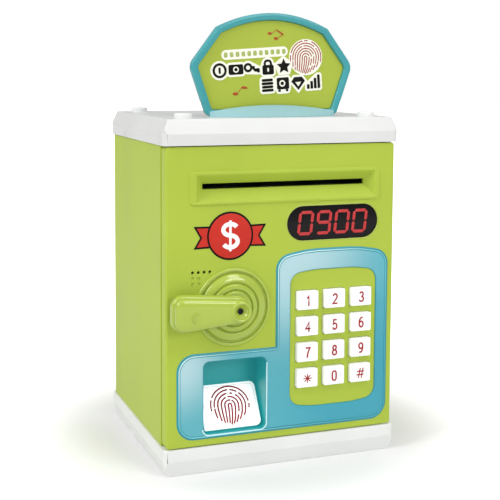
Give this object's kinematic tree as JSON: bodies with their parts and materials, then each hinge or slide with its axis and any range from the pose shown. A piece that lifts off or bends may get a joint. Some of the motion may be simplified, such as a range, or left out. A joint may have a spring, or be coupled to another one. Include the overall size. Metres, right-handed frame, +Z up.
{
  "type": "toy safe coin bank",
  "caption": "Upright toy safe with a hinged door that carries a note feeder, lit display, keypad, sloped touch pad and a lever that throws a bolt; a shaped sign stands on the lid.",
  "frame": {"origin": "centre of the flat underside of the base", "axes": "+Z up, +Y from the door towards the rear wall, +X to the right as seen when facing the door"},
  "size_m": [0.132, 0.125, 0.2394],
  "materials": {
    "green_plastic": "satin moulded",
    "white_plastic": "satin moulded",
    "key_white": "gloss moulded",
    "teal_plastic": "gloss moulded",
    "sign_green": "satin printed panel",
    "sign_print": "printed film",
    "red_print": "printed film",
    "lens_black": "smoked window",
    "red_segments": "lit segments",
    "dark_plastic": "moulded",
    "inner_plastic": "moulded natural nylon",
    "silicone": "translucent grey",
    "roller_rubber": "matt",
    "circuit_board": "solder mask",
    "steel": "zinc plated",
    "brass": "cut gear",
    "battery_wrap": "wrapped cells"
  },
  "bodies": {
    "cabinet": {"cabinet_shell": "green_plastic", "lid": "white_plastic", "screw_plugs": "white_plastic", "base": "white_plastic", "sign_frame": "teal_plastic", "sign_panel": "sign_green", "sign_label": "sign_print", "strike_plate": "steel", "hinge_pins": "steel", "lid_screws": "steel", "base_screws": "steel"},
    "door": {"door_front": "green_plastic", "keypad_bezel": "teal_plastic", "lever_dial": "green_plastic", "display_lens": "lens_black", "display_digits": "red_segments", "display_module": "dark_plastic", "badge_label": "red_print", "key_membrane": "silicone", "main_board": "circuit_board", "speaker": "dark_plastic", "feeder_frame": "inner_plastic", "feed_motor": "steel", "batteries": "battery_wrap", "battery_contacts": "steel", "door_housing": "green_plastic", "battery_cover": "green_plastic", "battery_cover_screw": "steel", "door_screws": "steel", "inner_screws": "steel", "microswitch": "dark_plastic", "lock_case": "inner_plastic"},
    "lever": {"lever_front": "green_plastic", "lever_back": "green_plastic", "lever_spindle": "steel", "lock_pinion": "brass", "spindle_screw": "steel"},
    "bolt": {"lock_bolt": "steel"},
    "touch": {"touch_pad": "key_white", "touch_label": "red_print"},
    "note_drive": {"drive_roller": "roller_rubber", "roller_gear": "inner_plastic"},
    "note_idler": {"idler_roller": "inner_plastic"},
    "motor_shaft": {"motor_gear": "brass"},
    "switch": {"power_switch": "dark_plastic"},
    "key_1_body": {"key_1": "key_white"},
    "key_2_body": {"key_2": "key_white"},
    "key_3_body": {"key_3": "key_white"},
    "key_4_body": {"key_4": "key_white"},
    "key_5_body": {"key_5": "key_white"},
    "key_6_body": {"key_6": "key_white"},
    "key_7_body": {"key_7": "key_white"},
    "key_8_body": {"key_8": "key_white"},
    "key_9_body": {"key_9": "key_white"},
    "key_star_body": {"key_star": "key_white"},
    "key_0_body": {"key_0": "key_white"},
    "key_hash_body": {"key_hash": "key_white"}
  },
  "joints": [
    {"name": "door_hinge", "type": "hinge", "parent": "cabinet", "child": "door", "pos_m": [0.061, -0.0514, 0.093], "axis": [0, 0, 1], "range_deg": [0, 110]},
    {"name": "lever_turn", "type": "hinge", "parent": "door", "child": "lever", "pos_m": [-0.0285, -0.06, 0.087], "axis": [0, -1, 0], "range_deg": [0, 60]},
    {"name": "bolt_slide", "type": "slide", "parent": "door", "child": "bolt", "axis": [-1, 0, 0], "range_m": [0, 0.0063]},
    {"name": "touch_press", "type": "slide", "parent": "door", "child": "touch", "axis": [0, 0.848, -0.5299], "range_m": [0, 0.001], "stiffness_N_per_m": 250, "springref_m": -0.001},
    {"name": "note_drive_spin", "type": "hinge", "parent": "door", "child": "note_drive", "pos_m": [0.002, -0.0355, 0.14445], "axis": [1, 0, 0], "continuous": true},
    {"name": "note_idler_spin", "type": "hinge", "parent": "door", "child": "note_idler", "pos_m": [0.002, -0.0355, 0.15375], "axis": [1, 0, 0], "continuous": true},
    {"name": "motor_spin", "type": "hinge", "parent": "door", "child": "motor_shaft", "pos_m": [0.05, -0.0355, 0.13095], "axis": [1, 0, 0], "continuous": true},
    {"name": "power_switch_slide", "type": "slide", "parent": "door", "child": "switch", "axis": [0, 0, 1], "range_m": [0, 0.003]},
    {"name": "key_1_press", "type": "slide", "parent": "door", "child": "key_1_body", "axis": [0, 1, 0], "range_m": [0, 0.001], "stiffness_N_per_m": 300, "springref_m": -0.0005},
    {"name": "key_2_press", "type": "slide", "parent": "door", "child": "key_2_body", "axis": [0, 1, 0], "range_m": [0, 0.001], "stiffness_N_per_m": 300, "springref_m": -0.0005},
    {"name": "key_3_press", "type": "slide", "parent": "door", "child": "key_3_body", "axis": [0, 1, 0], "range_m": [0, 0.001], "stiffness_N_per_m": 300, "springref_m": -0.0005},
    {"name": "key_4_press", "type": "slide", "parent": "door", "child": "key_4_body", "axis": [0, 1, 0], "range_m": [0, 0.001], "stiffness_N_per_m": 300, "springref_m": -0.0005},
    {"name": "key_5_press", "type": "slide", "parent": "door", "child": "key_5_body", "axis": [0, 1, 0], "range_m": [0, 0.001], "stiffness_N_per_m": 300, "springref_m": -0.0005},
    {"name": "key_6_press", "type": "slide", "parent": "door", "child": "key_6_body", "axis": [0, 1, 0], "range_m": [0, 0.001], "stiffness_N_per_m": 300, "springref_m": -0.0005},
    {"name": "key_7_press", "type": "slide", "parent": "door", "child": "key_7_body", "axis": [0, 1, 0], "range_m": [0, 0.001], "stiffness_N_per_m": 300, "springref_m": -0.0005},
    {"name": "key_8_press", "type": "slide", "parent": "door", "child": "key_8_body", "axis": [0, 1, 0], "range_m": [0, 0.001], "stiffness_N_per_m": 300, "springref_m": -0.0005},
    {"name": "key_9_press", "type": "slide", "parent": "door", "child": "key_9_body", "axis": [0, 1, 0], "range_m": [0, 0.001], "stiffness_N_per_m": 300, "springref_m": -0.0005},
    {"name": "key_star_press", "type": "slide", "parent": "door", "child": "key_star_body", "axis": [0, 1, 0], "range_m": [0, 0.001], "stiffness_N_per_m": 300, "springref_m": -0.0005},
    {"name": "key_0_press", "type": "slide", "parent": "door", "child": "key_0_body", "axis": [0, 1, 0], "range_m": [0, 0.001], "stiffness_N_per_m": 300, "springref_m": -0.0005},
    {"name": "key_hash_press", "type": "slide", "parent": "door", "child": "key_hash_body", "axis": [0, 1, 0], "range_m": [0, 0.001], "stiffness_N_per_m": 300, "springref_m": -0.0005}
  ],
  "couplings": [
    {"joint": "bolt_slide", "follows": "lever_turn", "m_per_rad": 0.006},
    {"joint": "motor_spin", "follows": "note_drive_spin", "ratio": -2},
    {"joint": "note_idler_spin", "follows": "note_drive_spin", "ratio": -1.25}
  ]
}
